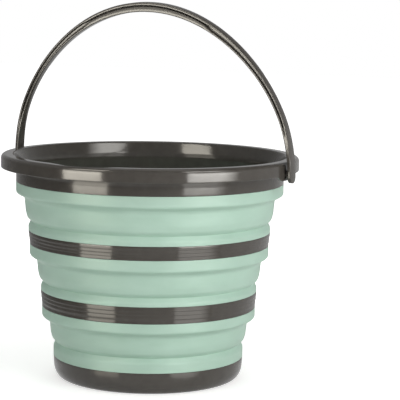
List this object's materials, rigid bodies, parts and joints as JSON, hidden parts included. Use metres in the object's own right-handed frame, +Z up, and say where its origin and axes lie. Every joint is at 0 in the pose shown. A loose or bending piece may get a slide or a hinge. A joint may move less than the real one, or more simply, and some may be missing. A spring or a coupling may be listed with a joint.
{
  "type": "collapsible bucket",
  "caption": "Round tapered camp bucket with a swinging bail: hard rings joined by soft walls that turn inside out, so it folds flat.",
  "frame": {"origin": "centre of the foot ring, on the surface that the open bucket stands on", "axes": "+Z up along the bucket's axis, +X along the bail's pivot line; the bail rests 3.8 degrees towards -Y"},
  "size_m": [0.33, 0.3144, 0.3989],
  "materials": {
    "hard_plastic": "glossy warm charcoal polypropylene",
    "soft_rubber": "satin mint thermoplastic rubber"
  },
  "bodies": {
    "base": {"base": "hard_plastic", "bottom_fold_foot": "soft_rubber", "bottom_fold_wall": "soft_rubber"},
    "lower_band": {"lower_band": "hard_plastic", "bottom_fold_collar": "soft_rubber", "middle_fold_foot": "soft_rubber", "middle_fold_wall": "soft_rubber"},
    "upper_band": {"upper_band": "hard_plastic", "middle_fold_collar": "soft_rubber", "top_fold_foot": "soft_rubber", "top_fold_wall": "soft_rubber"},
    "rim": {"rim": "hard_plastic", "top_fold_collar": "soft_rubber"},
    "bail": {"bail": "hard_plastic"}
  },
  "joints": [
    {"name": "bottom_fold", "type": "slide", "parent": "base", "child": "lower_band", "axis": [0, 0, 1], "range_m": [-0.0592, 0], "deforming": ["bottom_fold_wall"]},
    {"name": "middle_fold", "type": "slide", "parent": "lower_band", "child": "upper_band", "axis": [0, 0, 1], "range_m": [-0.062, 0], "deforming": ["middle_fold_wall"]},
    {"name": "top_fold", "type": "slide", "parent": "upper_band", "child": "rim", "axis": [0, 0, 1], "range_m": [-0.0684, 0], "deforming": ["top_fold_wall"]},
    {"name": "bail_hinge", "type": "hinge", "parent": "rim", "child": "bail", "pos_m": [0, 0, 0.226], "axis": [1, 0, 0], "range_deg": [-103, 96]}
  ]
}
